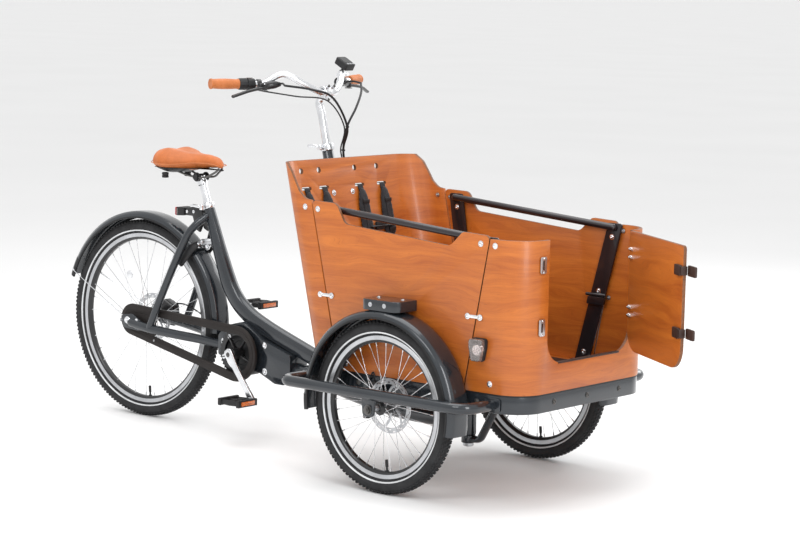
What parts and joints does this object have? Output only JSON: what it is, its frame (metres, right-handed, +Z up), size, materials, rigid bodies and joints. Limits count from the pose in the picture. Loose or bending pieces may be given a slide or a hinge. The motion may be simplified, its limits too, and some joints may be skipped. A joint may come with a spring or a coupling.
{
  "type": "cargo bicycle",
  "caption": "Three-wheeled cargo bicycle with a varnished plywood box between two front wheels, a side-hinged front door, a bench with harnesses, and pivot steering.",
  "frame": {"origin": "on the ground, midway along and across the footprint of the bicycle with its door open as stored", "axes": "+X is the riding direction, +Y the rider's left, +Z up"},
  "size_m": [2.5348, 0.917, 1.2264],
  "materials": {
    "black_plastic": "matte",
    "black_steel": "satin",
    "black_webbing": "woven",
    "case_plastic": "matte",
    "clear_lens": "clear",
    "frame_paint": "gloss",
    "plywood": "varnished",
    "polished_alloy": "polished",
    "rubber": "matte",
    "steel": "brushed",
    "tan_leather": "satin"
  },
  "bodies": {
    "rear_frame": {"main_tube": "frame_paint", "lower_tube": "frame_paint", "stays_right": "frame_paint", "stays_left": "frame_paint", "drive_motor": "black_plastic", "rear_mudguard": "frame_paint", "chain_case": "case_plastic", "chain": "steel", "rear_axle": "steel", "ring_lock": "black_plastic", "tail_lamp": "black_plastic"},
    "seat": {"seatpost": "polished_alloy", "saddle": "tan_leather"},
    "seat_clamp": {"seat_clamp_lever": "polished_alloy"},
    "lock_knob": {"lock_lever": "steel"},
    "crank": {"crankset": "polished_alloy"},
    "right_pedal": {"pedal_right": "black_plastic"},
    "left_pedal": {"pedal_left": "black_plastic"},
    "rear_wheel_set": {"rear_tyre": "rubber", "rear_wheel": "polished_alloy"},
    "sprocket": {"rear_sprocket": "steel"},
    "front_assembly": {"chassis_band": "frame_paint", "kingpin_bridge": "frame_paint", "kingpin": "steel", "guard_tube_right": "frame_paint", "guard_tube_left": "frame_paint", "axle_right": "steel", "axle_left": "steel", "box_floor": "plywood", "box_rear_panel": "plywood", "box_side_right": "plywood", "box_side_left": "plywood", "box_front_panel": "plywood", "bench": "plywood", "battery": "black_plastic", "rail_right": "frame_paint", "rail_left": "frame_paint", "front_mudguard_right": "frame_paint", "front_mudguard_left": "frame_paint", "front_lamp": "clear_lens", "steering_column": "frame_paint", "harness_right": "black_webbing", "harness_left": "black_webbing"},
    "right_front_wheel_set": {"front_tyre_right": "rubber", "front_wheel_right": "polished_alloy"},
    "left_front_wheel_set": {"front_tyre_left": "rubber", "front_wheel_left": "polished_alloy"},
    "door_leaf": {"door": "plywood"},
    "upper_latch": {"latch_upper": "black_plastic"},
    "lower_latch": {"latch_lower": "black_plastic"},
    "bar_assembly": {"stem": "polished_alloy", "handlebar": "polished_alloy", "grip_left": "tan_leather", "grip_right": "tan_leather", "display": "black_plastic", "control_cables": "rubber"},
    "stem_clamp": {"stem_clamp_lever": "polished_alloy"},
    "shifter": {"twist_shifter": "black_plastic"},
    "right_brake_lever": {"brake_lever_right": "black_steel"},
    "left_brake_lever": {"brake_lever_left": "black_steel"}
  },
  "joints": [
    {"name": "steer", "type": "hinge", "parent": "rear_frame", "child": "front_assembly", "pos_m": [0.45395, 0, 0.205], "axis": [0, 0, 1], "range_deg": [-30, 30]},
    {"name": "rear_wheel_spin", "type": "hinge", "parent": "rear_frame", "child": "rear_wheel_set", "pos_m": [-0.92705, 0, 0.33], "axis": [0, 1, 0], "continuous": true},
    {"name": "crank_spin", "type": "hinge", "parent": "rear_frame", "child": "crank", "pos_m": [-0.45505, 0, 0.27], "axis": [0, 1, 0], "continuous": true},
    {"name": "rear_sprocket_spin", "type": "hinge", "parent": "rear_frame", "child": "sprocket", "pos_m": [-0.92705, 0, 0.33], "axis": [0, 1, 0], "continuous": true},
    {"name": "right_pedal_spin", "type": "hinge", "parent": "crank", "child": "right_pedal", "pos_m": [-0.35575, -0.1391, 0.13823], "axis": [0, 1, 0], "continuous": true},
    {"name": "left_pedal_spin", "type": "hinge", "parent": "crank", "child": "left_pedal", "pos_m": [-0.55435, 0.1391, 0.40177], "axis": [0, 1, 0], "continuous": true},
    {"name": "right_front_wheel_spin", "type": "hinge", "parent": "front_assembly", "child": "right_front_wheel_set", "pos_m": [0.43395, -0.372, 0.2535], "axis": [0, 1, 0], "continuous": true},
    {"name": "left_front_wheel_spin", "type": "hinge", "parent": "front_assembly", "child": "left_front_wheel_set", "pos_m": [0.43395, 0.372, 0.2535], "axis": [0, 1, 0], "continuous": true},
    {"name": "seatpost_slide", "type": "slide", "parent": "rear_frame", "child": "seat", "axis": [-0.3601, 0, 0.9329], "range_m": [-0.055, 0.08]},
    {"name": "seat_clamp_lever_turn", "type": "hinge", "parent": "rear_frame", "child": "seat_clamp", "pos_m": [-0.64205, -0.0325, 0.725], "axis": [0, 0, 1], "range_deg": [0, 150]},
    {"name": "lock_lever_slide", "type": "slide", "parent": "rear_frame", "child": "lock_knob", "axis": [0.7001, 0, 0.7141], "range_m": [0, 0.04]},
    {"name": "stem_slide", "type": "slide", "parent": "front_assembly", "child": "bar_assembly", "axis": [-0.2334, 0, 0.9724], "range_m": [-0.04, 0.06]},
    {"name": "stem_clamp_lever_turn", "type": "hinge", "parent": "front_assembly", "child": "stem_clamp", "pos_m": [-0.13544, -0.0295, 0.952], "axis": [0, 0, 1], "range_deg": [0, 150]},
    {"name": "shifter_twist", "type": "hinge", "parent": "bar_assembly", "child": "shifter", "pos_m": [-0.26161, -0.23388, 1.14682], "axis": [0.3714, 0.9284, -0.0103], "range_deg": [-60, 60]},
    {"name": "door_swing", "type": "hinge", "parent": "front_assembly", "child": "door_leaf", "pos_m": [0.89095, 0.203, 0.412], "axis": [0, 0, 1], "range_deg": [-56.5, 95]},
    {"name": "upper_latch_turn", "type": "hinge", "parent": "door_leaf", "child": "upper_latch", "pos_m": [1.2227, -0.01778, 0.696], "axis": [0, 0, 1], "range_deg": [0, 95]},
    {"name": "lower_latch_turn", "type": "hinge", "parent": "door_leaf", "child": "lower_latch", "pos_m": [1.2227, -0.01778, 0.52], "axis": [0, 0, 1], "range_deg": [0, 95]},
    {"name": "right_brake_lever_pull", "type": "hinge", "parent": "bar_assembly", "child": "right_brake_lever", "pos_m": [-0.21835, -0.19674, 1.13645], "axis": [-0.5561, 0.2135, -0.8032], "range_deg": [0, 13], "stiffness_Nm_per_rad": 1.5, "springref_deg": -6.88},
    {"name": "left_brake_lever_pull", "type": "hinge", "parent": "bar_assembly", "child": "left_brake_lever", "pos_m": [-0.21835, 0.19674, 1.13645], "axis": [0.5561, 0.2135, 0.8032], "range_deg": [0, 13], "stiffness_Nm_per_rad": 1.5, "springref_deg": -6.88}
  ],
  "couplings": [
    {"joint": "rear_sprocket_spin", "follows": "crank_spin", "ratio": 2}
  ]
}
